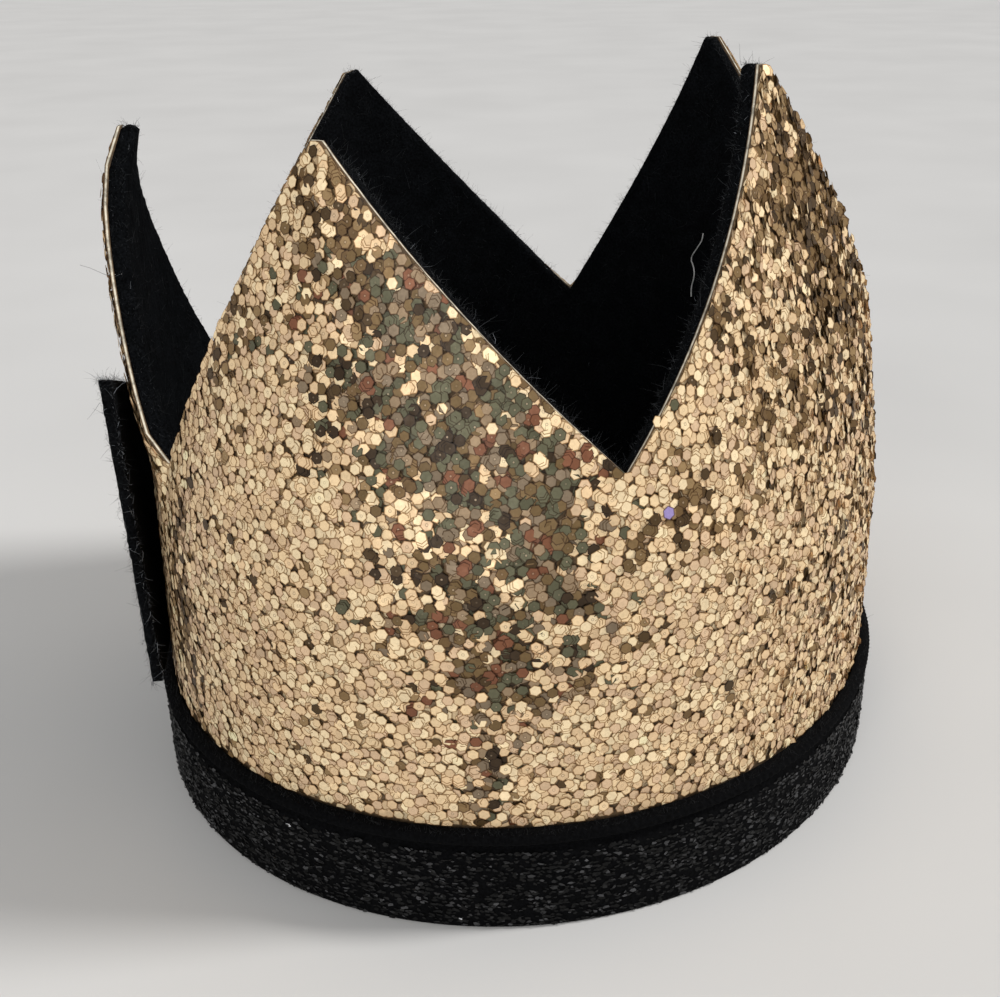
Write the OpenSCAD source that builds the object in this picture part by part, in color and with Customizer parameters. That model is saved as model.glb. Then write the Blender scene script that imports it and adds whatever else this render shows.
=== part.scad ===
// Hand-made party crown: a ring of glitter canvas lined with felt, cut into points along the top,
// trimmed with an elastic band round the foot and closed by a felt patch over the seam.
// The origin is at the middle of the head opening, level with the foot of the ring.

/* [Ring] */
// Longer outside width of the canvas ring
ring_long = 82; // [70:1:100]
// Shorter outside width of the canvas ring
ring_short = 74; // [62:1:92]
// Direction of the longer width, in degrees from +X
ring_turn = 70; // [0:5:180]
// Inward slope of the wall above the band, in degrees
wall_slope = 1; // [0:0.5:5]

/* [Points] */
// Number of wide points
wide_points = 4; // [3:1:6]
// Angle that the narrow point over the seam takes up
seam_angle = 48; // [36:1:60]
// Direction of the middle of the narrow point
seam_dir = 187; // [160:1:200]
// Height of a point
tip_h = 66; // [56:1:85]
// Height of a notch between points
notch_h = 36; // [25:1:45]
// Width of the blunt end of a point
tip_blunt = 1.2; // [0.6:0.2:3]
// How far the tip of the narrow point curls back in
seam_curl = 2; // [0:0.5:6]

/* [Hand cutting] */
// Extra height of each point, from the front left one round to the narrow one
tip_rise = [-1, 3, 1.5, -2, -3]; // [-4:0.5:4]
// Extra height of each notch, from the left one round
notch_rise = [-1.5, 4.5, -1.5, -0.5, 0]; // [-5:0.5:5]
// Sideways shift of each point from the middle between its notches, in degrees
tip_shift = [-5, -6, 8, 0, 1]; // [-10:1:10]
// Sideways shift of each notch, in degrees
notch_shift = [0, -7, -1, -6, 0]; // [-8:1:8]
// How far each point leans in at its tip; a minus sign leans it out
tip_lean = [6.5, 9.5, 2.5, -1, -3]; // [-6:0.5:12]
// How far the flanks of the wide points lean in beside each notch, on the same scale
notch_lean = [6, 11, 4, 2, -0.5]; // [-6:0.5:12]

/* [Layers] */
// Thickness of the glitter canvas with its flakes
canvas_t = 0.8; // [0.5:0.1:1.5]
// Thickness of the felt lining
felt_t = 1.6; // [1:0.1:3]

/* [Band] */
// Height of the elastic band
band_h = 10; // [6:0.5:16]
// Thickness of the woven face of the band
band_t = 0.9; // [0.7:0.1:1.5]
// Height of the ribbed selvedge along the top of the band
selvedge_h = 1.3; // [1:0.1:2.5]
// How far the selvedge stands out from the canvas
selvedge_t = 1.1; // [0.9:0.1:1.8]
// Height of the groove under the selvedge
groove_h = 0.5; // [0.3:0.1:1]
// Thickness of the band in the groove
groove_t = 0.5; // [0.3:0.1:0.6]
// Rounding of the edges of the woven face
edge_round = 0.3; // [0.1:0.1:0.5]

/* [Seam patch] */
// Turn of the patch from the middle of the narrow point, in degrees
patch_shift = 3; // [-5:1:5]
// Width of the patch
patch_w = 25; // [20:1:28]
// Width of the free flap along the front edge of the patch
flap_w = 10.5; // [4:0.5:14]
// Height of the patch along its front edge
patch_h = 31.5; // [20:0.5:34]
// How much lower the top of the patch is along its back edge
patch_fall = 9; // [0:0.5:12]
// Thickness of the patch
patch_t = 1; // [0.6:0.1:2]
// Clear height between the band and the patch
patch_gap = 1.5; // [0.3:0.1:3]
// Thickness of the glue between the patch and the canvas
glue_t = 0.1; // [0.05:0.05:0.3]

/* [Hidden] */

// Columns along each flank of a point, rows between the band and the cut edge, panels of the patch
flank_steps = 9;
wall_rows = 9;
patch_steps = 6;
// How far below the notches the lean starts, and how it grows towards the tips
lean_drop = 8;
wide_lean_power = 1.3;
seam_lean_power = 0.5;
// How sharply the narrow tip curls
curl_power = 9;

half_long = ring_long / 2;
half_short = ring_short / 2;
ring_r = (half_long + half_short) / 2;
slope_rate = tan(wall_slope) / ring_r;
wide_angle = (360 - seam_angle) / wide_points;
first_notch = seam_dir + seam_angle / 2;
blunt_angle = tip_blunt / 2 / ring_r * 180 / PI;
patch_foot = band_h + patch_gap;
patch_dir = seam_dir + 360 + patch_shift;
flap_run = patch_w / 2 - flap_w;

// An uneven value of the hand cutting; the narrow point takes the last one of the list
function uneven(list, i) =
    i == wide_points ? list[len(list) - 1] : list[i % (len(list) - 1)];

// Outside radius of the canvas at its foot
function foot_r(dir) =
    let (c = half_short * cos(dir - ring_turn), s = half_long * sin(dir - ring_turn))
    half_long * half_short / sqrt(c * c + s * s);

// Notch i lies before point i, and the narrow point is the last one
function notch_dir(i) = i > wide_points
    ? notch_dir(0) + 360
    : first_notch + i * wide_angle + uneven(notch_shift, i);
function notch_top(i) = notch_h + uneven(notch_rise, i % (wide_points + 1));
function point_top(i) = tip_h + uneven(tip_rise, i);
function point_dir(i) = (notch_dir(i) + notch_dir(i + 1)) / 2 + uneven(tip_shift, i);

// Height at which the wall starts to lean: the line from notch to notch, or below it on a wide point
function lean_foot(i, dir) =
    let (share = (dir - notch_dir(i)) / (notch_dir(i + 1) - notch_dir(i)))
    let (line = notch_top(i) + (notch_top(i + 1) - notch_top(i)) * share)
    i == wide_points ? line : line - lean_drop;

// Full lean at a direction: from the notches beside a wide point to its tip, even on the narrow one
function lean_size(i, dir) =
    let (before = dir < point_dir(i), notch = before ? i : i + 1)
    let (share = (dir - notch_dir(notch)) / (point_dir(i) - notch_dir(notch)))
    let (at_tip = uneven(tip_lean, i), beside = uneven(notch_lean, notch % (wide_points + 1)))
    i == wide_points ? at_tip : beside + (at_tip - beside) * share;

// Inward lean of point i at a direction and a height
function lean(i, dir, z) =
    let (foot = lean_foot(i, dir), rise = max(0, z - foot) / (point_top(i) - foot))
    let (seam = i == wide_points, curl = seam ? seam_curl * pow(rise, curl_power) : 0)
    lean_size(i, dir) * pow(rise, seam ? seam_lean_power : wide_lean_power) + curl;

// Place on the wall: depth runs inwards from the outside of the canvas
function wall_place(i, dir, z, depth) =
    let (r = (foot_r(dir) - depth) * (1 - slope_rate * max(0, z - band_h)) - lean(i, dir, z))
    [r * cos(dir), r * sin(dir), z];

// Columns of one point as [point, direction, height of the cut edge], from its first notch on
function point_columns(i) =
    let (from = notch_dir(i), to = notch_dir(i + 1), tip = point_dir(i), top = point_top(i))
    let (rise = tip - blunt_angle - from, fall = to - tip - blunt_angle)
    [
        for (j = [0 : flank_steps])
            [i, from + rise * j / flank_steps, notch_top(i) + (top - notch_top(i)) * j / flank_steps],
        for (j = [0 : flank_steps - 1])
            [i, to - fall * (1 - j / flank_steps), top + (notch_top(i + 1) - top) * j / flank_steps]
    ];
columns = [for (i = [0 : wide_points]) each point_columns(i)];

// Heights of the rows of a column: the foot, the top of the band and then up to the cut edge
function row_heights(top) =
    [0, for (j = [0 : wall_rows]) band_h + (top - band_h) * j / wall_rows];

// Section of a wall layer at a column: up its outside, then down its inside
function layer_section(column, outside, inside) =
    let (rows = row_heights(column[2]), last = len(rows) - 1)
    [
        for (z = rows) wall_place(column[0], column[1], z, outside),
        for (j = [last : -1 : 0]) wall_place(column[0], column[1], rows[j], inside)
    ];

// Section of the band as [distance out from the canvas, height], up its outside
selvedge_z = band_h - selvedge_h;
groove_z = selvedge_z - groove_h;
band_profile = [
    [0, 0],
    [band_t - edge_round, 0],
    [band_t, edge_round],
    [band_t, groove_z - edge_round],
    [groove_t, groove_z],
    [groove_t, selvedge_z],
    [selvedge_t, selvedge_z + edge_round],
    [selvedge_t, band_h - edge_round],
    [selvedge_t - edge_round, band_h],
    [0, band_h]
];
function band_section(column) =
    let (dir = column[1], r = foot_r(dir))
    [for (p = band_profile) [(r + p[0]) * cos(dir), (r + p[0]) * sin(dir), p[1]]];

// Place on the patch: it follows the canvas as far as the flap, which runs straight on
function out_from_wall(dir) =
    let (a = wall_place(wide_points, dir - 1, 0, 0), b = wall_place(wide_points, dir + 1, 0, 0))
    let (along = (b - a) / norm(b - a))
    [along.y, -along.x, 0];
function patch_place(run, z, out) =
    let (dir = patch_dir + min(run, flap_run) / ring_r * 180 / PI, normal = out_from_wall(dir))
    let (along = [-normal.y, normal.x, 0])
    wall_place(wide_points, dir, z, 0) + normal * (glue_t + out) + along * max(run - flap_run, 0);

// Section of the patch: straight up from its foot, as far as the slanting cut along its top
function patch_edge(run, share, out) =
    let (foot = patch_place(run, patch_foot, out), high = patch_place(run, patch_foot + patch_h, out))
    foot + (high - foot) * share;
function patch_section(run) =
    let (share = 1 - patch_fall / patch_h * (0.5 - run / patch_w))
    [
        patch_edge(run, 0, 0),
        patch_edge(run, 0, patch_t),
        patch_edge(run, share, patch_t),
        patch_edge(run, share, 0)
    ];
patch_runs = [
    for (j = [0 : patch_steps]) -patch_w / 2 + (patch_w - flap_w) * j / patch_steps,
    patch_w / 2
];

// Solid through a row of sections with equal numbers of corners. Both sides of a layer split
// their panels along the same diagonal, so that two layers meet face to face.
module sweep(sections, closed) {
    count = len(sections);
    corners = len(sections[0]);
    function corner(s, k) = (s % count) * corners + k % corners;
    function panel(s, k) =
        let (a = corner(s, k), b = corner(s + 1, k), c = corner(s + 1, k + 1), d = corner(s, k + 1))
        k < corners / 2 ? [[a, d, c], [a, c, b]] : [[a, d, b], [d, c, b]];
    last = closed ? count - 1 : count - 2;
    sides = [for (s = [0 : last], k = [0 : corners - 1]) each panel(s, k)];
    start_cap = [for (k = [corners - 1 : -1 : 0]) corner(0, k)];
    end_cap = [for (k = [0 : corners - 1]) corner(count - 1, k)];
    faces = closed ? sides : concat(sides, [start_cap, end_cap]);
    polyhedron([for (section = sections) each section], faces, convexity = 8);
}

module felt_lining() {
    color([0.05, 0.055, 0.06])
        sweep([for (c = columns) layer_section(c, canvas_t, canvas_t + felt_t)], true);
}

module glitter_canvas() {
    color([0.78, 0.64, 0.42])
        sweep([for (c = columns) layer_section(c, 0, canvas_t)], true);
}

module elastic_band() {
    color([0.1, 0.1, 0.11])
        sweep([for (c = columns) band_section(c)], true);
}

module seam_patch() {
    color([0.06, 0.065, 0.07])
        sweep([for (run = patch_runs) patch_section(run)], false);
}

felt_lining();
glitter_canvas();
elastic_band();
seam_patch();
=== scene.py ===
import math

import bpy
import numpy as np
from mathutils import Matrix, Vector, noise
from mathutils.bvhtree import BVHTree


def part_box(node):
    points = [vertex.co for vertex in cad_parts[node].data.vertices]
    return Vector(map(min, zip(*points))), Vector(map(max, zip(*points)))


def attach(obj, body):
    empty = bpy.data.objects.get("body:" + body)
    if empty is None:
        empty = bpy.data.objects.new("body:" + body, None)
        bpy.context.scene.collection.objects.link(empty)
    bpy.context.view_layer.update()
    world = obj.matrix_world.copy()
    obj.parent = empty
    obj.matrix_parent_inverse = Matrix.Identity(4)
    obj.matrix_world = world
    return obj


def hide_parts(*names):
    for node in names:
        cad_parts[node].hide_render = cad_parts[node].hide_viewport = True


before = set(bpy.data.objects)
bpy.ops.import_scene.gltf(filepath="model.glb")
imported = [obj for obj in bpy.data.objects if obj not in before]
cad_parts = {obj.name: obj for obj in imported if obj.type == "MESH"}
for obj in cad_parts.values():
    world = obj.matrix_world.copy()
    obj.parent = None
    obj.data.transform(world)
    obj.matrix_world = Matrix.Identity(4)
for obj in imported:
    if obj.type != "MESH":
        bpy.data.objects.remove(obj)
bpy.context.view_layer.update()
rng = np.random.default_rng(21)

MM = 0.001
TURN = 2 * math.pi

# Camera: the picture's size, the lens on a 36 mm sensor, and where it stands and looks
PICTURE_W = 1000
PICTURE_H = 997
LENS = 46.8
SENSOR = 36.0
CAMERA_AT = Vector((-2.15, -129.35, 80.19)) * MM
CAMERA_PITCH = math.radians(24.08)
CAMERA_ROLL = math.radians(-0.7)

# Glitter: hexagon flakes in two layers over the canvas backing, some of them in slipped stacks
FLAKE_R = 0.525 * MM
BACKING_DEPTH = 0.42 * MM
LOWER_SPACING = 0.92 * MM
UPPER_SPACING = 0.78 * MM
LOWER_LIFT = (-0.38 * MM, -0.3 * MM)
UPPER_LIFT = (-0.25 * MM, -0.03 * MM)
FLAKE_TILT = 0.06
CURLED_TILT = 0.28
CURLED_FROM, CURLED_TO = math.radians(-62), math.radians(-8)
STACKED_SHARE = 0.3
STACK_SLIP = 0.24 * MM
STACK_DROP = 0.025 * MM
DOTTED_SHARE = 0.5
EDGE_REACH = 0.22 * MM
FLAKE_FOOT = 0.03 * MM
LEAST_AREA = 0.001 * MM * MM

# How far the sheets are cut back along some edges: directions in degrees, from and to, and the amount
BOTH_CUT_BACK = [(121, 164, 1.5 * MM), (326, 355, 0.9 * MM)]
FELT_CUT_BACK = BOTH_CUT_BACK + [(209, 245, 1.2 * MM)]
CANVAS_CUT_BACK = BOTH_CUT_BACK + [(79, 121, 0.6 * MM), (121, 164, 0.6 * MM)]
FLAKES_CUT_BACK = CANVAS_CUT_BACK + [(162, 211, 0.8 * MM)]

# Felt and its loose fibres
FELT_LUMP = 0.55 * MM
FELT_ROUGH = 0.09 * MM
FELT_ROUND = 0.45 * MM
FIBRE_R = 0.013 * MM
EDGE_FIBRES = 13000
FACE_FIBRES = 9000
FACE_FIBRE_FOOT = 3 * MM
FACE_FIBRE_MOST = 2 * MM
PATCH_EDGE_FIBRES = 420

# Kinds of fibres: points along each, the two numbers of the spread of their lengths in mm, their darkest
# and lightest shade, and the share of pale ones
EDGE_FIBRE = (3, (1.6, 0.18), (0.004, 0.06), 0.03)
FACE_FIBRE = (3, (3.0, 0.25), (0.003, 0.03), 0.002)
PATCH_FIBRE = (4, (2.2, 0.2), (0.006, 0.06), 0.2)
TUFT = (3, (2.5, 0.15), (0.002, 0.025), 0.0)
PALE_SHADES = (0.12, 0.45)
FIBRE_CURL = 0.45

# Darkest and lightest colours of the two felts
LINING_COLORS = ((0.0012, 0.0014, 0.0017), (0.0065, 0.0075, 0.009))
PATCH_COLORS = ((0.0015, 0.0017, 0.002), (0.008, 0.009, 0.0105))

# Elastic: the sizes of its section out from the canvas, its ribs, and its specks, with glints painted
# into the colour of some
BAND_T = 0.9 * MM
SELVEDGE_T = 1.1 * MM
SELVEDGE_H = 1.3 * MM
GROOVE_H = 0.5 * MM
GROOVE_T = 0.5 * MM
EDGE_ROUND = 0.3 * MM
RIB_PITCH = 0.8 * MM
RIB_DEPTH = 0.07 * MM
SPECK_ROW = 0.4 * MM
SPECK_R = 0.19 * MM
SPECKS = 13000
SPECK_TILT = 0.22
DULL_SPECK = (0.001, 0.006)
# Shades of the share of specks with a glint painted into their colour
LIT_SPECK = (0.01, 0.07)
LIT_SHARE = 0.22
# Shade of the few specks with a bright painted glint
PAINTED_GLINT_SPECK = 0.6
TUFTS = 4000

# Colours of the flakes, with dark reflections and brown shade painted into some of them, and the sizes
# of the clumps that share one
BRIGHT = np.array([(0.89, 0.71, 0.45), (0.83, 0.62, 0.37), (0.75, 0.54, 0.32), (0.69, 0.49, 0.31)])
# Dark reflections painted into the colour of some flakes
PAINTED_REFLECTION_TINTS = np.array(
    [
        (0.042, 0.024, 0.01),
        (0.1, 0.096, 0.055),
        (0.11, 0.105, 0.06),
        (0.16, 0.1, 0.04),
        (0.21, 0.155, 0.1),
        (0.3, 0.21, 0.125),
        (0.2, 0.078, 0.038),
    ]
)
# Brown shade painted into the colour of some flakes
PAINTED_SHADE_TINTS = np.array([(0.07, 0.04, 0.014), (0.15, 0.088, 0.034), (0.22, 0.137, 0.058), (0.3, 0.195, 0.09)])
PURPLE = (0.34, 0.27, 0.55)
# Painted shade that darkens the lower layer under the upper flakes
UNDER_PAINTED_SHADE = 0.75
CLUMP = 3.2 * MM
SMALL_CLUMP = 1.6 * MM
# Share of flakes anywhere that get painted brown shade
STRAY_PAINTED_SHADE = 0.04

# Places where dark reflections are painted into the flakes' colour: direction in degrees; height, half
# width and half height in mm;
# strength; and whether brown shade is painted there instead
PAINTED_DARK_PLACES = [
    (255, 57, 4.0, 4.0, 0.7, False),
    (249, 51, 7.0, 5.0, 0.5, False),
    (258, 50, 7.0, 6.0, 0.6, False),
    (266, 44, 7.0, 6.0, 0.9, False),
    (271, 39, 5.0, 5.0, 0.8, False),
    (266, 34, 5.5, 6.0, 0.95, False),
    (252, 43, 5.0, 5.0, 0.5, False),
    (258, 30, 4.0, 5.0, 0.35, False),
    (275, 30, 2.5, 3.0, 0.7, False),
    (268, 24, 5.0, 4.0, 1.0, False),
    (266, 16, 1.8, 5.0, 0.85, False),
    (243, 61, 4.0, 4.0, 0.7, True),
    (247, 56, 5.0, 4.0, 0.3, True),
    (229, 48, 2.5, 7.0, 0.5, True),
    (321, 61, 8.0, 9.0, 1.0, True),
    (327, 51, 7.0, 7.0, 0.7, True),
    (301, 54, 4.0, 7.0, 0.45, True),
    (337, 44, 5.0, 9.0, 0.6, True),
    (291, 37, 3.5, 3.0, 0.6, True),
    (313, 42, 8.0, 6.0, 0.4, True),
    (322, 27, 11.0, 10.0, 0.25, True),
    (216, 22, 2.8, 10.0, 0.9, True),
]

# Places in the picture of single details, in pixels
PURPLE_FLAKE_AT = (669, 513)
LIFTED_FLAKE_AT = (652, 420)
THREAD_AT = [
    (704, 233), (703, 240), (697, 249), (691, 258),
    (695, 267), (695, 277), (692, 286), (692, 296),
]
HAIR_AT = [(122, 274), (106, 275), (90, 268), (80, 265)]
GLINTS_AT = [(289, 825), (461, 918)]
THREAD_R = 0.09 * MM
HAIR_R = 0.03 * MM
THREAD_COLOR = (0.75, 0.75, 0.75, 1.0)

# Floor and light: places and sizes in metres
FLOOR_HALF = 4.0
WORLD_COLOR = (1.0, 0.995, 0.985, 1)
WORLD_STRENGTH = 0.5
LAMP_COLOR = (1.0, 0.98, 0.95)
LAMPS_AIM = Vector((0, 0, 0.03))
KEY_AT = Vector((0.6, 0.04, 0.5))
KEY_STRENGTH = 2.3
KEY_ANGLE = math.radians(12)
FILL_AT = Vector((-0.15, -0.7, 0.22))
FILL_POWER = 3.0
FILL_SIZE = 0.6


# Camera, and places in the picture

def camera_axes():
    """Directions to the right, up and ahead of the camera."""
    right = Vector((1, 0, 0))
    up = Vector((0, math.sin(CAMERA_PITCH), math.cos(CAMERA_PITCH)))
    ahead = Vector((0, math.cos(CAMERA_PITCH), -math.sin(CAMERA_PITCH)))
    across = right * math.cos(CAMERA_ROLL) + up * math.sin(CAMERA_ROLL)
    above = up * math.cos(CAMERA_ROLL) - right * math.sin(CAMERA_ROLL)
    return across, above, ahead


def add_camera():
    across, above, ahead = camera_axes()
    data = bpy.data.cameras.new("camera")
    data.lens = LENS
    data.sensor_width = SENSOR
    data.clip_start = 5 * MM
    camera = bpy.data.objects.new("camera", data)
    turn = Matrix((across, above, -ahead)).transposed().to_4x4()
    camera.matrix_world = Matrix.Translation(CAMERA_AT) @ turn
    bpy.context.scene.collection.objects.link(camera)
    bpy.context.scene.camera = camera


def tree_of(node):
    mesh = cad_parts[node].data
    return BVHTree.FromPolygons([v.co for v in mesh.vertices], [p.vertices for p in mesh.polygons])


def ray_at(pixel):
    """Direction from the camera through a pixel of the picture, one unit ahead."""
    across, above, ahead = camera_axes()
    focal = LENS / SENSOR * PICTURE_W
    x, y = pixel
    return ahead + across * ((x - PICTURE_W / 2) / focal) - above * ((y - PICTURE_H / 2) / focal)


def seen_at(tree, pixel):
    """Place on a CAD node under a pixel, and the direction out of it."""
    place, out, _, _ = tree.ray_cast(CAMERA_AT, ray_at(pixel))
    return np.array(place), np.array(out)


def around(place):
    """Direction and height of a place, as arrays of one."""
    return np.array([math.atan2(place[1], place[0])]), np.array([place[2]])


# The wall, read from the CAD sheets: columns at fixed directions, each with rows from foot to cut edge

def closed(values):
    """Values of columns once round, with the last one before and the first one after."""
    return np.concatenate([values[-1:], values, values[:1]])


class Wall:
    def __init__(self, node):
        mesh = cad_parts[node].data
        points = np.empty(len(mesh.vertices) * 3, np.float32)
        mesh.vertices.foreach_get("co", points)
        points = np.unique(points.reshape(-1, 3), axis=0).astype(float)
        direction = np.arctan2(points[:, 1], points[:, 0])
        order = np.argsort(direction)
        column_gap = 0.002
        groups = np.split(order, np.flatnonzero(np.diff(direction[order]) > column_gap) + 1)
        columns = [self.rows(points[group]) for group in groups]
        turns = np.array([direction[group].mean() for group in groups])
        self.directions = np.concatenate([turns[-1:] - TURN, turns, turns[:1] + TURN])
        self.heights = closed(np.array([c[0] for c in columns]))
        self.inner = closed(np.array([c[1] for c in columns]))
        self.outer = closed(np.array([c[2] for c in columns]))

    @staticmethod
    def rows(points):
        """Heights, inner radii and outer radii of one column's rows."""
        points = points[np.argsort(points[:, 2])]
        radii = np.sort(np.hypot(points[:, 0], points[:, 1]).reshape(-1, 2), axis=1)
        return points[::2, 2], radii[:, 0], radii[:, 1]

    def fine(self, steps):
        """Directions once round, with every column and some steps between columns."""
        parts = [
            np.linspace(a, b, steps, endpoint=False)
            for a, b in zip(self.directions[1:-1], self.directions[2:])
        ]
        return np.concatenate(parts)

    def between(self, direction, values):
        """A row of values for each direction, worked out between its two columns."""
        turned = (direction - self.directions[0]) % TURN + self.directions[0]
        j = np.clip(np.searchsorted(self.directions, turned, side="right") - 1, 0, len(values) - 2)
        span = self.directions[j + 1] - self.directions[j]
        share = ((turned - self.directions[j]) / span)[:, None]
        return values[j] * (1 - share) + values[j + 1] * share

    def cut_back(self, edges):
        """Lower the cut edge along some directions."""
        turned = np.degrees(self.directions) % 360
        top = self.heights[:, -1].copy()
        for first, last, amount in edges:
            share = np.clip((turned - first) / (last - first), 0, 1)
            top -= amount * np.sqrt(np.sin(share * math.pi))
        for side in (self.inner, self.outer):
            side[:, -1] = self.radius(self.directions, top, side)
        self.heights[:, -1] = top

    def cut(self, direction):
        """Height of the cut edge."""
        return self.between(direction, self.heights)[:, -1]

    def cut_slope(self, direction):
        """Rise of the cut edge for each length round the wall."""
        step = 0.2 * MM / MEAN_R
        return (self.cut(direction + step) - self.cut(direction - step)) / (2 * step * MEAN_R)

    def radius(self, direction, z, side):
        """Radius of the inner or the outer side at a direction and a height."""
        heights = self.between(direction, self.heights)
        radii = self.between(direction, side)
        row = np.clip((heights <= z[:, None]).sum(1) - 1, 0, heights.shape[1] - 2)
        i = np.arange(len(z))
        low, high = heights[i, row], heights[i, row + 1]
        share = (z - low) / (high - low)
        return radii[i, row] + (radii[i, row + 1] - radii[i, row]) * share

    def outside(self, direction, z, out=0.0):
        """Places at a distance out from the outer side."""
        return ring_place(direction, self.radius(direction, z, self.outer) + out, z)

    def inside(self, direction, z, out=0.0):
        """Places at a distance in from the inner side."""
        return ring_place(direction, self.radius(direction, z, self.inner) - out, z)


def ring_place(direction, radius, z):
    return np.stack([radius * np.cos(direction), radius * np.sin(direction), z], axis=-1)


def outward(direction):
    return np.stack([np.cos(direction), np.sin(direction), np.zeros_like(direction)], axis=-1)


def unit(vectors):
    return vectors / np.linalg.norm(vectors, axis=-1, keepdims=True)


def lumps(points, size, seed=0.0):
    """Smooth noise from about -1 to 1 at each point, with lumps of a size."""
    return np.array([noise.noise(Vector(p)) for p in points.reshape(-1, 3) / size + seed])


canvas = Wall("glitter_canvas")
flake_wall = Wall("glitter_canvas")
lining = Wall("felt_lining")
canvas.cut_back(CANVAS_CUT_BACK)
flake_wall.cut_back(FLAKES_CUT_BACK)
lining.cut_back(FELT_CUT_BACK)
CANVAS_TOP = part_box("glitter_canvas")[1].z
BAND_TOP = round(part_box("elastic_band")[1].z, 6)
MEAN_R = canvas.outer.mean()


def along_line(line, steps):
    """Evenly spaced points along a line of points."""
    run = np.concatenate([[0], np.cumsum(np.linalg.norm(np.diff(line, axis=0), axis=1))])
    at = np.linspace(0, run[-1], steps)
    return np.stack([np.interp(at, run, line[:, i]) for i in range(3)], axis=1)


# Pieces from arrays

def add_piece(name, points, faces, material, smooth=True):
    """A mesh piece whose faces all have the same number of corners."""
    mesh = bpy.data.meshes.new(name)
    mesh.vertices.add(len(points))
    mesh.vertices.foreach_set("co", points.astype(np.float32).ravel())
    mesh.loops.add(faces.size)
    mesh.loops.foreach_set("vertex_index", faces.astype(np.int32).ravel())
    mesh.polygons.add(len(faces))
    mesh.polygons.foreach_set("loop_start", np.arange(0, faces.size, faces.shape[1], dtype=np.int32))
    mesh.polygons.foreach_set("use_smooth", np.full(len(faces), smooth))
    mesh.update(calc_edges=True)
    mesh.materials.append(material)
    piece = bpy.data.objects.new(name, mesh)
    bpy.context.scene.collection.objects.link(piece)
    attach(piece, "root")
    return piece


def add_values(piece, name, values):
    """A value or a colour for each point of a piece, for its material to read."""
    kind, field = ("FLOAT", "value") if values.ndim == 1 else ("FLOAT_COLOR", "color")
    attribute = piece.data.attributes.new(name, kind, "POINT")
    attribute.data.foreach_set(field, values.astype(np.float32).ravel())


def ring_faces(count, corners):
    """Quads of a closed ring of closed sections."""
    i, k = np.meshgrid(np.arange(count), np.arange(corners), indexing="ij")
    next_i = (i + 1) % count
    next_k = (k + 1) % corners
    quads = [i * corners + k, next_i * corners + k, next_i * corners + next_k, i * corners + next_k]
    return np.stack(quads, axis=-1).reshape(-1, 4)


def strands(paths, radii):
    """Points and quads of thin three-sided tubes along paths."""
    count, steps = paths.shape[:2]
    along = unit(np.gradient(paths, axis=1))
    side = unit(np.cross(along, np.array([0.36, 0.48, 0.8])))
    other = np.cross(along, side)
    angles = np.arange(3) * TURN / 3
    ring = side[:, :, None] * np.cos(angles)[:, None] + other[:, :, None] * np.sin(angles)[:, None]
    points = paths[:, :, None] + ring * radii[:, :, None, None]
    f, s, k = np.meshgrid(np.arange(count), np.arange(steps - 1), np.arange(3), indexing="ij")
    low = (f * steps + s) * 3
    next_k = (k + 1) % 3
    quads = np.stack([low + k, low + next_k, low + 3 + next_k, low + 3 + k], axis=-1)
    return points.reshape(-1, 3), quads.reshape(-1, 4)


# Materials

class Shader:
    """A material's nodes, with short ways to add and join them."""

    def __init__(self, name, **sockets):
        self.material = bpy.data.materials.new(name)
        self.material.use_nodes = True
        self.tree = self.material.node_tree
        self.surface = self.tree.nodes["Principled BSDF"]
        for socket, value in sockets.items():
            self.surface.inputs[socket.replace("_", " ")].default_value = value

    def add(self, kind, **sockets):
        node = self.tree.nodes.new("ShaderNode" + kind)
        for socket, value in sockets.items():
            node.inputs[socket.replace("_", " ")].default_value = value
        return node

    def join(self, output, socket):
        self.tree.links.new(output, socket)

    def noise(self, size, detail=2.0):
        """Noise with lumps of a size in metres."""
        place = self.add("TexCoord")
        texture = self.add("TexNoise", Scale=1 / size, Detail=detail)
        self.join(place.outputs["Object"], texture.inputs["Vector"])
        return texture.outputs["Fac"]

    def ramp(self, value, *stops):
        """Colours at stops along a value."""
        node = self.add("ValToRGB")
        while len(node.color_ramp.elements) < len(stops):
            node.color_ramp.elements.new(1.0)
        for element, (position, color) in zip(node.color_ramp.elements, stops):
            element.position = position
            element.color = (*color, 1)
        self.join(value, node.inputs["Fac"])
        return node.outputs["Color"]

    def attribute(self, name, output="Color"):
        node = self.add("Attribute")
        node.attribute_name = name
        return node.outputs[output]

    def mix(self, blend):
        node = self.tree.nodes.new("ShaderNodeMix")
        node.data_type = "RGBA"
        node.blend_type = blend
        return node

    def multiply(self, a, b):
        node = self.mix("MULTIPLY")
        node.inputs["Factor"].default_value = 1.0
        self.join(a, node.inputs["A"])
        self.join(b, node.inputs["B"])
        return node.outputs["Result"]

    def bump(self, value, height, strength=1.0):
        node = self.add("Bump", Strength=strength, Distance=height)
        self.join(value, node.inputs["Height"])
        self.join(node.outputs["Normal"], self.surface.inputs["Normal"])


def grey(value):
    return (value, value, value)


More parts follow.
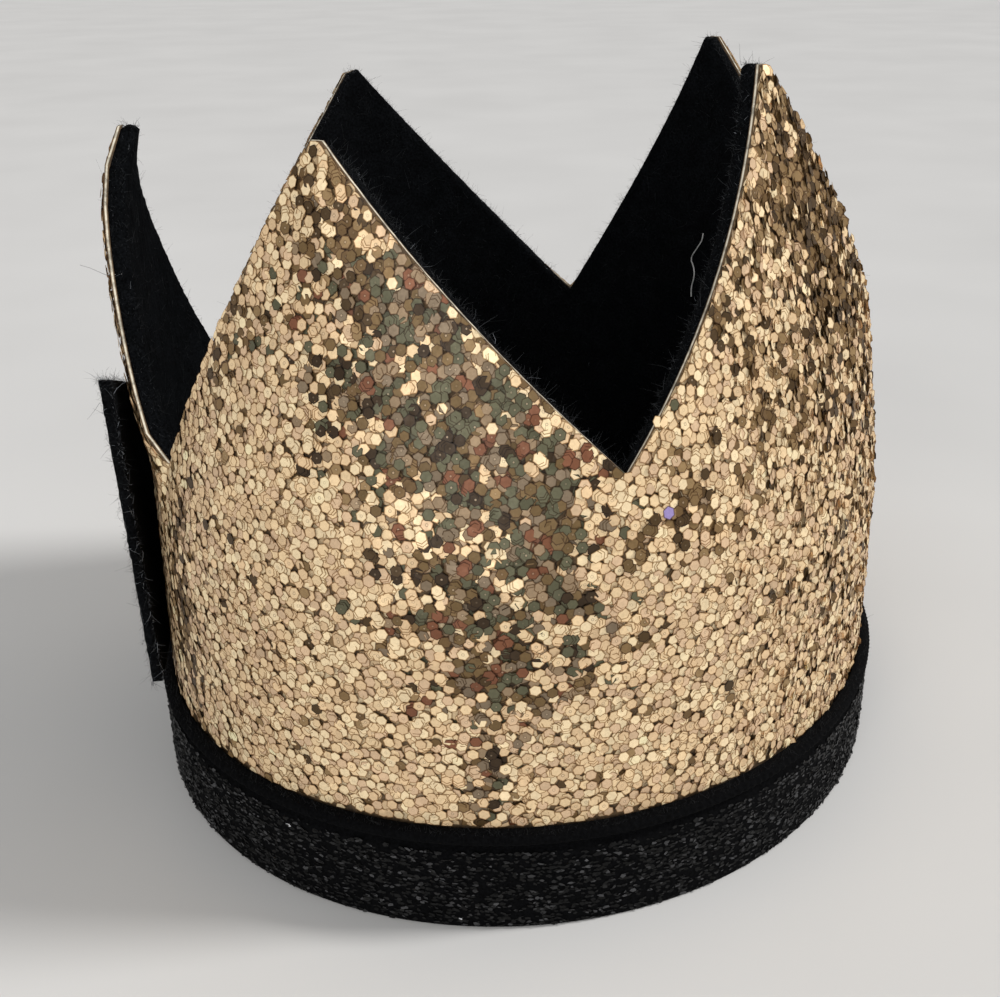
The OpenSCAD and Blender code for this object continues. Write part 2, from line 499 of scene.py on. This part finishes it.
def flake_material():
    shader = Shader("glitter_flake", Metallic=0.3, Specular_IOR_Level=0.3)
    tint = shader.attribute("tint")
    rim = shader.attribute("rim", "Fac")
    # Darker rims: dark glue round the flakes, with painted shade in the gaps under their edges
    glue_and_shade_outline = shader.ramp(rim, (0.8, grey(1.0)), (0.9, (0.5, 0.4, 0.3)), (1.0, (0.26, 0.18, 0.11)))
    dot = shader.ramp(rim, (0.0, grey(0.7)), (0.15, grey(0.65)), (0.22, grey(0.42)), (0.32, grey(1.0)))
    dotted = shader.mix("MIX")
    dotted.inputs["A"].default_value = (1, 1, 1, 1)
    shader.join(shader.attribute("tint", "Alpha"), dotted.inputs["Factor"])
    shader.join(dot, dotted.inputs["B"])
    mottle = shader.ramp(shader.noise(0.25 * MM), (0.3, grey(0.86)), (0.7, grey(1.0)))
    worn = shader.multiply(dotted.outputs["Result"], mottle)
    color = shader.multiply(shader.multiply(tint, glue_and_shade_outline), worn)
    pale = shader.ramp(rim, (0.0, (0.3, 0.23, 0.16)), (0.14, (0.24, 0.18, 0.12)), (0.2, grey(0.0)))
    spotted = shader.mix("ADD")
    shader.join(shader.attribute("tint", "Alpha"), spotted.inputs["Factor"])
    shader.join(color, spotted.inputs["A"])
    shader.join(pale, spotted.inputs["B"])
    shader.join(spotted.outputs["Result"], shader.surface.inputs["Base Color"])
    gloss = shader.ramp(shader.noise(0.4 * MM), (0.3, grey(0.36)), (0.7, grey(0.52)))
    shader.join(gloss, shader.surface.inputs["Roughness"])
    shader.bump(shader.noise(0.3 * MM), 0.012 * MM, 0.5)
    return shader.material


def canvas_material():
    shader = Shader("canvas_backing", Roughness=0.85)
    across = shader.attribute("across", "Fac")
    glue = (0.13, 0.08, 0.038)
    cream = (0.74, 0.68, 0.55)
    layers = shader.ramp(across, (0.0, glue), (0.2, glue), (0.35, cream), (0.65, cream), (0.85, glue))
    worn = shader.ramp(shader.noise(0.7 * MM, 4.0), (0.36, grey(0.45)), (0.58, grey(1.0)))
    shader.join(shader.multiply(layers, worn), shader.surface.inputs["Base Color"])
    shader.bump(shader.noise(0.25 * MM, 4.0), 0.05 * MM)
    return shader.material


def felt_material(name, dark, light):
    shader = Shader(name, Roughness=0.95, Specular_IOR_Level=0.03)
    fibres = shader.ramp(shader.noise(0.22 * MM, 5.0), (0.35, dark), (0.72, light))
    mottle = shader.ramp(shader.noise(2.2 * MM, 3.0), (0.3, grey(0.5)), (0.7, grey(1.0)))
    shader.join(shader.multiply(fibres, mottle), shader.surface.inputs["Base Color"])
    shader.bump(shader.noise(0.2 * MM, 5.0), 0.15 * MM, 0.8)
    return shader.material


def strand_material():
    shader = Shader("loose_fibre", Roughness=0.7, Specular_IOR_Level=0.2)
    mottle = shader.ramp(shader.noise(0.3 * MM), (0.3, grey(0.7)), (0.7, grey(1.0)))
    shader.join(shader.multiply(shader.attribute("tint"), mottle), shader.surface.inputs["Base Color"])
    return shader.material


def elastic_material():
    shader = Shader("elastic_weave", Roughness=0.9, Specular_IOR_Level=0.05)
    dark = (0.0005, 0.0005, 0.0007)
    light = (0.003, 0.0032, 0.0038)
    yarn = shader.ramp(shader.noise(0.25 * MM, 4.0), (0.3, dark), (0.75, light))
    shader.join(yarn, shader.surface.inputs["Base Color"])
    shader.bump(shader.noise(0.15 * MM, 3.0), 0.06 * MM, 0.8)
    return shader.material


def speck_material():
    shader = Shader("elastic_glitter", Metallic=0.3, Specular_IOR_Level=0.2)
    mottle = shader.ramp(shader.noise(0.3 * MM), (0.3, grey(0.7)), (0.7, grey(1.0)))
    shader.join(shader.multiply(shader.attribute("tint"), mottle), shader.surface.inputs["Base Color"])
    gloss = shader.ramp(shader.noise(0.2 * MM), (0.3, grey(0.35)), (0.7, grey(0.55)))
    shader.join(gloss, shader.surface.inputs["Roughness"])
    return shader.material


def floor_material():
    shader = Shader("pale_floor", Roughness=0.9, Specular_IOR_Level=0.1)
    tone = shader.ramp(shader.noise(60 * MM), (0.3, (0.61, 0.61, 0.61)), (0.7, (0.65, 0.65, 0.65)))
    shader.join(tone, shader.surface.inputs["Base Color"])
    return shader.material


# Glitter canvas

def painted_dark_shares(direction, z):
    """How far the flakes get a painted dark reflection and how far painted brown shade, from 0 to 1."""
    shares = np.zeros((2, len(z)))
    for turn, height, half_w, half_h, strength, painted_shade in PAINTED_DARK_PLACES:
        side = (direction - math.radians(turn) + math.pi) % TURN - math.pi
        far = (side * MEAN_R / (half_w * MM)) ** 2 + ((z - height * MM) / (half_h * MM)) ** 2
        shares[int(painted_shade)] += strength * np.exp(-far)
    return np.clip(shares, 0, 1)


def pick(palette, share):
    """A colour of a palette for each share from 0 to 1."""
    return palette[np.clip((share * len(palette)).astype(int), 0, len(palette) - 1)]


def flake_tints(direction, z):
    """A colour for each flake, with the strength of its dot in the fourth value."""
    count = len(z)
    places = flake_wall.outside(direction, z)
    # Dark reflections and brown shade painted into the flakes' colour, more in the dark places and
    # clumps
    painted_reflection, painted_shade = painted_dark_shares(direction, z)
    clump = 0.5 + 0.9 * lumps(places, CLUMP)
    small_clump = 0.5 + 0.9 * lumps(places, SMALL_CLUMP, 40.0)
    chance = rng.random(count)
    tint = pick(BRIGHT, rng.random(count) ** 1.3)
    has_painted_reflection = chance < painted_reflection * (0.3 + 1.15 * clump)
    kind = np.clip(small_clump + rng.normal(0, 0.1, count), 0, 0.999)
    tint[has_painted_reflection] = pick(PAINTED_REFLECTION_TINTS, kind)[has_painted_reflection]
    # Brown shade painted on flakes in the shaded places, and on a few anywhere
    has_painted_shade = chance > 1 - (painted_shade + STRAY_PAINTED_SHADE) * (0.4 + 0.95 * small_clump)
    tint[has_painted_shade] = pick(PAINTED_SHADE_TINTS, rng.random(count))[has_painted_shade]
    tint *= rng.normal(1.0, 0.06, count)[:, None]
    dotted = (rng.random(count) < DOTTED_SHARE) * rng.random(count)
    return np.column_stack([np.clip(tint, 0.004, 0.95), dotted])


def flake_places(spacing):
    """Directions and heights of flakes over the canvas, on a loosened triangular grid."""
    row_step = spacing * math.sqrt(3) / 2
    rows = np.arange(BAND_TOP, CANVAS_TOP, row_step)
    per_row = round(TURN * MEAN_R / spacing)
    row, place = np.meshgrid(np.arange(len(rows)), np.arange(per_row), indexing="ij")
    loose = rng.uniform(-0.42, 0.42, (2, row.size))
    direction = (place.ravel() + 0.5 * (row.ravel() % 2) + loose[0]) / per_row * TURN - math.pi
    z = rows[row.ravel()] + loose[1] * spacing
    beyond = (z - flake_wall.cut(direction)) / np.sqrt(1 + flake_wall.cut_slope(direction) ** 2)
    kept = (beyond < EDGE_REACH) & (z > BAND_TOP + FLAKE_FOOT)
    return direction[kept], z[kept]


def trimmed(direction, z):
    """Directions and heights, moved square onto the cut edge where they lie beyond it."""
    slope = flake_wall.cut_slope(direction)
    back = np.clip(z - flake_wall.cut(direction), 0, None) / (1 + slope**2)
    turned = direction + slope * back / MEAN_R
    return turned, np.clip(z - back, BAND_TOP + FLAKE_FOOT, flake_wall.cut(turned))


def flake_points(direction, z, lift, turn):
    """The middle and the six corners of each flake."""
    count = len(z)
    angle = turn[:, None] + np.arange(6) * TURN / 6
    tilt = rng.normal(0, FLAKE_TILT, (2, count))
    curled = (direction > CURLED_FROM) & (direction < CURLED_TO)
    tilt[0, curled] *= CURLED_TILT / FLAKE_TILT
    reach = FLAKE_R * rng.normal(1.0, 0.04, (count, 1))
    side = np.concatenate([np.zeros((count, 1)), reach * np.cos(angle)], axis=1)
    up = np.concatenate([np.zeros((count, 1)), reach * np.sin(angle)], axis=1)
    out = lift[:, None] + side * tilt[0][:, None] + up * tilt[1][:, None]
    turned, heights = trimmed((direction[:, None] + side / MEAN_R).ravel(), (z[:, None] + up).ravel())
    return flake_wall.outside(turned, heights, out.ravel()).reshape(count, 7, 3)


def add_flakes(name, points, tint, material):
    """A piece of flakes from the points of each one, without the slivers left by the trimming."""
    count = len(points)
    k = np.arange(6)
    fan = np.stack([np.zeros(6, int), k + 1, (k + 1) % 6 + 1], axis=1)
    faces = (np.arange(count)[:, None, None] * 7 + fan).reshape(-1, 3)
    points = points.reshape(-1, 3)
    a, b, c = points[faces].transpose(1, 0, 2)
    area = np.linalg.norm(np.cross(b - a, c - a), axis=1) / 2
    piece = add_piece(name, points, faces[area > LEAST_AREA], material, smooth=False)
    add_values(piece, "rim", np.tile(np.array([0.0, 1, 1, 1, 1, 1, 1]), count))
    add_values(piece, "tint", np.repeat(tint, 7, axis=0))
    return piece


def stacked(direction, z, lift, turn, tint):
    """The same flakes, with two more slipped out from under some of them."""
    first = np.flatnonzero(rng.random(len(z)) < STACKED_SHARE)
    slip = rng.uniform(0, TURN, first.size)
    rows = [(direction, z, lift, turn, tint)]
    for k in (1, 2):
        side = k * STACK_SLIP * np.cos(slip)
        up = k * STACK_SLIP * np.sin(slip)
        turned = direction[first] + side / MEAN_R
        rows.append((turned, z[first] + up, lift[first] - k * STACK_DROP, turn[first], tint[first]))
    return [np.concatenate(column) for column in zip(*rows)]


def add_glitter(material):
    """Flakes over the whole canvas: a lower piece, and an upper piece for each point of the crown."""
    direction, z = flake_places(LOWER_SPACING)
    tint = flake_tints(direction, z)
    # The lower layer darkened by painted shade under the upper flakes
    tint[:, :3] *= UNDER_PAINTED_SHADE
    lift = rng.uniform(*LOWER_LIFT, len(z))
    turn = rng.uniform(0, TURN, len(z))
    pieces = [add_flakes("glitter_under", flake_points(direction, z, lift, turn), tint, material)]

    direction, z = flake_places(UPPER_SPACING)
    purple_turn, purple_z = around(seen_at(tree_of("glitter_canvas"), PURPLE_FLAKE_AT)[0])
    tint = np.concatenate([flake_tints(direction, z), [(*PURPLE, 0.0)]])
    lift = np.append(rng.uniform(*UPPER_LIFT, len(z)), UPPER_LIFT[1])
    direction = np.append(direction, purple_turn)
    z = np.append(z, purple_z)
    turn = rng.uniform(0, TURN, len(z))
    direction, z, lift, turn, tint = stacked(direction, z, lift, turn, tint)
    kept = z < flake_wall.cut(direction) + EDGE_REACH
    points = flake_points(direction[kept], z[kept], lift[kept], turn[kept])
    tint = tint[kept]
    turns = canvas.directions[1:-1]
    tops = canvas.heights[1:-1, -1]
    notches = np.sort(turns[(tops < np.roll(tops, 1)) & (tops < np.roll(tops, -1))])
    point = np.searchsorted(notches, direction[kept]) % len(notches)
    for i in range(len(notches)):
        own = point == i
        pieces.append(add_flakes(f"glitter_flakes_{i + 1}", points[own], tint[own], material))
    return pieces


def add_lifted_flake(material):
    """The flake that stands off the cut edge of the front right point."""
    across, above, ahead = camera_axes()
    place, _ = seen_at(tree_of("felt_lining"), LIFTED_FLAKE_AT)
    direction, _ = around(place)
    root = canvas.outside(direction, canvas.cut(direction))[0]
    side = np.array(across) * 0.8 + np.array(ahead) * 0.6
    up = np.array(above)
    middle = root + FLAKE_R * 0.6 * (up - 0.3 * side)
    angle = np.arange(6) * TURN / 6
    rim = middle + FLAKE_R * (np.cos(angle)[:, None] * side + np.sin(angle)[:, None] * up)
    points = np.concatenate([middle[None], rim])[None]
    return add_flakes("lifted_flake", points, np.array([(*BRIGHT[0], 0.0)]), material)


def sheet_section(wall, direction, rows_out, rim, rows_in, depth_out=0.0, drop=0.0):
    """Places of a sheet's closed sections: up the outside, over the cut edge and down the inside."""
    foot = wall.between(direction, wall.heights)[:, :1]
    rise = wall.cut(direction)[:, None] - drop - foot
    sides = []
    for rows, place, out in ((rows_out, wall.outside, -depth_out), (rows_in[::-1], wall.inside, 0.0)):
        turned = np.repeat(direction, rows.size)
        places = place(turned, (foot + rise * rows).ravel(), out)
        sides.append(places.reshape(len(direction), rows.size, 3))
    outside, inside = sides
    edge = outside[:, -1:] + (inside[:, :1] - outside[:, -1:]) * rim[:, None]
    return np.concatenate([outside, edge, inside], axis=1)


def add_canvas(material):
    direction = canvas.fine(5)
    rows = np.linspace(0, 1, 30)
    rim = np.array([0.12, 0.3, 0.5, 0.7, 0.88])
    sections = sheet_section(canvas, direction, rows, rim, rows, BACKING_DEPTH)
    across = np.concatenate([np.zeros(rows.size), rim, np.ones(rows.size)])
    edge = slice(rows.size, rows.size + rim.size)
    sections[:, edge, 2] += 0.06 * MM * lumps(sections[:, edge], 0.4 * MM).reshape(len(direction), -1)
    count, corners = sections.shape[:2]
    points = sections.reshape(-1, 3)
    piece = add_piece("canvas_backing", points, ring_faces(count, corners), material)
    add_values(piece, "across", np.tile(across, count))
    return piece


# Felt lining

def felt_lumps(points, out):
    """Points moved along their own directions by the lumps of felt."""
    push = lumps(points, FELT_LUMP) + 0.5 * lumps(points, 0.3 * FELT_LUMP, 17.0)
    return points + out.reshape(-1, 3) * (FELT_ROUGH * push)[:, None]


def add_lining(material):
    direction = lining.fine(10)
    rows_out = np.linspace(0, 1, 12)
    rows_in = np.concatenate([np.linspace(0, 0.2, 5, endpoint=False), np.linspace(0.2, 1, 42)])
    rim = np.linspace(0, 1, 10)[1:-1]
    sections = sheet_section(lining, direction, rows_out, rim, rows_in, drop=FELT_ROUND)
    edge = slice(rows_out.size, rows_out.size + rim.size)
    sections[:, edge, 2] += FELT_ROUND * np.sin(rim * math.pi) ** 0.6
    out = np.zeros_like(sections)
    out[:, edge] = (0, 0, 1)
    out[:, edge.stop :] = -outward(direction)[:, None]
    count, corners = sections.shape[:2]
    points = felt_lumps(sections.reshape(-1, 3), out)
    return add_piece("felt_sheet", points, ring_faces(count, corners), material)


def edge_frame(wall, direction):
    """At each direction: the inner and outer corners of the cut edge, and the direction out of it."""
    step = 0.004
    top = wall.cut(direction)
    outer = wall.outside(direction, top)
    inner = wall.inside(direction, top)
    along = unit(wall.outside(direction + step, wall.cut(direction + step)) - outer)
    return inner, outer, unit(np.cross(outward(direction), along))


def bent_paths(roots, leads, lengths, curl, steps):
    """Paths of fibres that leave their roots along leads and curl off."""
    bend = rng.normal(0, curl, roots.shape)
    share = np.linspace(0, 1, steps)[:, None]
    reach = lengths[:, None, None]
    return roots[:, None] + (leads[:, None] * share + bend[:, None] * share**2) * reach


def add_strands(name, paths, radii, tint, material):
    points, quads = strands(paths, radii)
    piece = add_piece(name, points, quads, material)
    add_values(piece, "tint", np.repeat(tint, len(points) // len(paths), axis=0))
    return piece


def add_fibres(name, roots, leads, kind, material, most=math.inf):
    """Loose fibres of a kind, none of them over a length."""
    steps, spread, shades, pale_share = kind
    count = len(roots)
    lengths = np.minimum(rng.gamma(*spread, count) * MM, most)
    paths = bent_paths(roots, unit(leads), lengths, FIBRE_CURL, steps)
    radii = FIBRE_R * rng.uniform(0.7, 1.4, count)[:, None] * np.linspace(1, 0.35, steps)
    pale = rng.random(count) < pale_share
    shade = np.where(pale, rng.uniform(*PALE_SHADES, count), rng.uniform(*shades, count))
    tint = np.column_stack([shade, shade * 1.08, shade * 1.2, np.ones(count)])
    return add_strands(name, paths, radii, tint, material)


def add_lining_fibres(material):
    """Fibres along the cut edge of the felt, and others that lie on its inside."""
    direction = rng.uniform(0, TURN, EDGE_FIBRES)
    inner, outer, rise = edge_frame(lining, direction)
    across = rng.random(EDGE_FIBRES)[:, None]
    roots = outer + (inner - outer) * across - rise * 0.15 * MM
    leads = rise + rng.normal(0, 0.45, roots.shape) + outward(direction) * (0.5 - across)
    edge = add_fibres("felt_edge_fibres", roots, leads, EDGE_FIBRE, material)

    direction = rng.uniform(0, TURN, FACE_FIBRES)
    span = lining.cut(direction) - FELT_ROUND - FACE_FIBRE_FOOT
    z = FACE_FIBRE_FOOT + rng.random(FACE_FIBRES) * span
    roots = lining.inside(direction, z, 0.02 * MM)
    leads = unit(rng.normal(0, 1, roots.shape))
    leads -= outward(direction) * ((leads * outward(direction)).sum(1) + 0.12)[:, None]
    name = "felt_face_fibres"
    face = add_fibres(name, roots, leads, FACE_FIBRE, material, FACE_FIBRE_MOST)
    return [edge, face]


def add_lint(material):
    """The pale thread that lies inside the back right point, and the hair beside the narrow one."""
    felt_tree = tree_of("felt_lining")
    seen = [seen_at(felt_tree, pixel) for pixel in THREAD_AT]
    knots = np.array([place + out * 2 * THREAD_R for place, out in seen])
    path = along_line(knots, 20)
    path[1:-1] = (path[:-2] + 2 * path[1:-1] + path[2:]) / 4
    tint = np.array([THREAD_COLOR])
    radii = np.full((1, len(path)), THREAD_R)
    thread = add_strands("lint_thread", path[None], radii, tint, material)

    root, _ = seen_at(felt_tree, HAIR_AT[0])
    depth = (Vector(root) - CAMERA_AT).dot(camera_axes()[2])
    path = np.array([CAMERA_AT + ray_at(pixel) * depth for pixel in HAIR_AT])
    radii = np.full((1, len(path)), HAIR_R)
    hair = add_strands("loose_hair", path[None], radii, tint * 0.5, material)
    return [thread, hair]


# Elastic band

def ridge_corner(angle, foot):
    """A corner of the selvedge, which swells out of the groove and closes on the canvas."""
    base = GROOVE_T if angle < 0 else 0.0
    out = base + (SELVEDGE_T - base) * math.cos(angle)
    return out, foot + SELVEDGE_H / 2 * (1 + math.sin(angle)), math.cos(angle)


def band_section():
    """The band's closed section as distance out, height and how far it is ribbed, up the outside."""
    groove_top = BAND_TOP - SELVEDGE_H
    groove_foot = groove_top - GROOVE_H
    face = [(BAND_T, z, 0.35) for z in np.linspace(EDGE_ROUND, groove_foot - EDGE_ROUND, 14)]
    ridge = [ridge_corner(a, groove_top) for a in np.linspace(-0.5, 0.48, 11) * math.pi]
    round_in = 0.3 * EDGE_ROUND
    foot = [(0.0, 0.0, 0.0), (BAND_T - EDGE_ROUND, 0.0, 0.0), (BAND_T - round_in, round_in, 0.0)]
    groove = [(GROOVE_T, groove_foot, 0.0), (GROOVE_T, groove_top - 0.05 * MM, 0.0)]
    return foot + face + groove + ridge + [(0.0, BAND_TOP, 0.0)]


def add_band(material):
    direction = canvas.fine(14)
    foot = canvas.between(direction, canvas.outer)[:, 0]
    column = band_section()
    sections = np.empty((len(direction), len(column), 3))
    ribs = round(MEAN_R / RIB_PITCH * TURN)
    for k, (out, z, ribbed) in enumerate(column):
        rib = RIB_DEPTH * np.sin(direction * ribs + z / RIB_PITCH * 2) * ribbed
        sections[:, k] = ring_place(direction, foot + out + rib, np.full_like(direction, z))
    count, corners = sections.shape[:2]
    points = sections.reshape(-1, 3)
    return add_piece("band_weave", points, ring_faces(count, corners), material)


def add_band_glitter(material):
    """Small dark specks pressed into the face of the band, some with a glint painted into their colour
    and a few with a bright painted glint.
    """
    groove_foot = BAND_TOP - SELVEDGE_H - GROOVE_H
    band_tree = tree_of("elastic_band")
    bright = [around(seen_at(band_tree, pixel)[0]) for pixel in GLINTS_AT]
    count = SPECKS + len(bright)
    direction = np.concatenate([rng.uniform(0, TURN, SPECKS), *[b[0] for b in bright]])
    rows = np.arange(SPECK_ROW, groove_foot, SPECK_ROW)
    own_z = rng.choice(rows, SPECKS) + rng.normal(0, 0.2 * SPECK_ROW, SPECKS)
    z = np.concatenate([np.clip(own_z, 0.3 * MM, groove_foot - 0.08 * MM), *[b[1] for b in bright]])
    foot = canvas.between(direction, canvas.outer)[:, 0]
    corners = 5
    angle = rng.uniform(0, TURN, count)[:, None] + np.arange(corners) * TURN / corners
    reach = SPECK_R * rng.uniform(0.5, 1.3, (count, 1)) * rng.uniform(0.55, 1.25, (count, corners))
    tilt = rng.normal(0, SPECK_TILT, (2, count, 1))
    side = 1.35 * reach * np.cos(angle)
    up = 0.8 * reach * np.sin(angle)
    out = BAND_T + 0.04 * MM + rng.uniform(0, 0.05 * MM, (count, 1)) + side * tilt[0] + up * tilt[1]
    turned = direction[:, None] + side / MEAN_R
    points = ring_place(turned, foot[:, None] + out, z[:, None] + up).reshape(-1, 3)
    faces = np.arange(count * corners).reshape(count, corners)
    shade = rng.uniform(*DULL_SPECK, count)
    # Glints painted into the colour of a share of the specks, and bright painted glints into the last
    # few
    lit = rng.random(count) < LIT_SHARE
    shade[lit] = rng.uniform(*LIT_SPECK, count)[lit]
    shade[SPECKS:] = PAINTED_GLINT_SPECK
    tint = np.column_stack([shade, shade * 1.01, shade * 1.06, np.ones(count)])
    piece = add_piece("band_glitter", points, faces, material, smooth=False)
    add_values(piece, "tint", np.repeat(tint, corners, axis=0))
    return piece


def add_tufts(material):
    """Short dark tufts along the top of the selvedge."""
    direction = rng.uniform(0, TURN, TUFTS)
    foot = canvas.between(direction, canvas.outer)[:, 0]
    out = rng.uniform(0.05, 0.8, TUFTS) * SELVEDGE_T
    roots = ring_place(direction, foot + out, np.full(TUFTS, BAND_TOP - 0.15 * MM))
    leads = (0, 0, 1) + rng.normal(0, 0.5, roots.shape)
    return add_fibres("band_tufts", roots, leads, TUFT, material)


# Seam patch

def patch_lines():
    """The patch's inner and outer lines along its foot and along its top, from the back to the flap."""
    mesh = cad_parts["seam_patch"].data
    points = np.unique(np.array([v.co for v in mesh.vertices]), axis=0)
    at_foot = points[:, 2] < points[:, 2].min() + 1 * MM
    lines = []
    for level in (points[at_foot], points[~at_foot]):
        level = level[np.argsort(-level[:, 1])].reshape(-1, 2, 3)
        radii = np.hypot(level[:, :, 0], level[:, :, 1])
        nearer = np.argmin(radii, axis=1)
        i = np.arange(len(level))
        lines.append((level[i, nearer], level[i, 1 - nearer]))
    return lines


def add_patch(material):
    across = 64
    tall = 80
    (foot_in, foot_out), (top_in, top_out) = patch_lines()
    share = np.linspace(0, 1, tall)[:, None, None]
    outer = along_line(foot_out, across) * (1 - share) + along_line(top_out, across) * share
    inner = along_line(foot_in, across) * (1 - share) + along_line(top_in, across) * share
    loops = np.concatenate([outer, inner[:, ::-1]], axis=1)
    out = unit(outer - inner)
    out = np.concatenate([out, -0.3 * out[:, ::-1]], axis=1)
    points = felt_lumps(loops.reshape(-1, 3), out)
    corners = loops.shape[1]
    v, k = np.meshgrid(np.arange(tall - 1), np.arange(corners), indexing="ij")
    after = (k + 1) % corners
    low = v * corners
    high = low + corners
    sides = np.stack([low + k, low + after, high + after, high + k], axis=-1)
    k = np.arange(across - 1)
    lid = np.stack([k, k + 1, corners - 2 - k, corners - 1 - k], axis=1)
    faces = np.concatenate([sides.reshape(-1, 4), lid + (tall - 1) * corners, lid[:, ::-1]])
    return add_piece("patch_sheet", points, faces, material), loops


def add_patch_fibres(loops, material):
    """Fibres along the cut edges of the patch, thickest on the front edge."""
    half = loops.shape[1] // 2
    middle = loops.mean(axis=(0, 1))
    edges = [loops[:, half - 1], loops[:, half], loops[-1, :half], loops[0, :half], loops[:, 0]]
    roots = np.concatenate([edge[rng.integers(0, len(edge), PATCH_EDGE_FIBRES)] for edge in edges])
    leads = unit(roots - middle) + rng.normal(0, 0.5, roots.shape)
    roots = roots + rng.normal(0, 0.1 * MM, roots.shape)
    return add_fibres("patch_fibres", roots, leads, PATCH_FIBRE, material)


# Floor and light

def add_floor():
    corners = [(x * FLOOR_HALF, y * FLOOR_HALF, 0) for x, y in ((-1, -1), (1, -1), (1, 1), (-1, 1))]
    mesh = bpy.data.meshes.new("floor")
    mesh.from_pydata(corners, [], [(0, 1, 2, 3)])
    mesh.materials.append(floor_material())
    floor = bpy.data.objects.new("floor", mesh)
    bpy.context.scene.collection.objects.link(floor)


def add_light():
    world = bpy.data.worlds.new("studio")
    world.use_nodes = True
    background = world.node_tree.nodes["Background"]
    background.inputs["Color"].default_value = WORLD_COLOR
    background.inputs["Strength"].default_value = WORLD_STRENGTH
    bpy.context.scene.world = world
    key = bpy.data.lights.new("key", "SUN")
    key.energy = KEY_STRENGTH
    key.angle = KEY_ANGLE
    fill = bpy.data.lights.new("fill", "AREA")
    fill.shape = "DISK"
    fill.size = FILL_SIZE
    fill.energy = FILL_POWER
    for light, place in ((key, KEY_AT), (fill, FILL_AT)):
        light.color = LAMP_COLOR
        lamp = bpy.data.objects.new(light.name, light)
        lamp.location = place
        lamp.rotation_euler = (LAMPS_AIM - place).to_track_quat("-Z", "Y").to_euler()
        bpy.context.scene.collection.objects.link(lamp)


add_camera()
add_floor()
add_light()

glitter = flake_material()
flakes = add_glitter(glitter) + [add_lifted_flake(glitter)]
backing = add_canvas(canvas_material())
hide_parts("glitter_canvas")

felt = add_lining(felt_material("lining_felt", *LINING_COLORS))
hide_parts("felt_lining")
strand = strand_material()
felt_fibres = add_lining_fibres(strand) + add_lint(strand)

band = add_band(elastic_material())
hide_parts("elastic_band")
band_glitter = add_band_glitter(speck_material())
band_tufts = add_tufts(strand)

patch, patch_loops = add_patch(felt_material("patch_felt", *PATCH_COLORS))
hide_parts("seam_patch")
patch_fibres = add_patch_fibres(patch_loops, strand)

bpy.context.scene.view_settings.view_transform = "Standard"
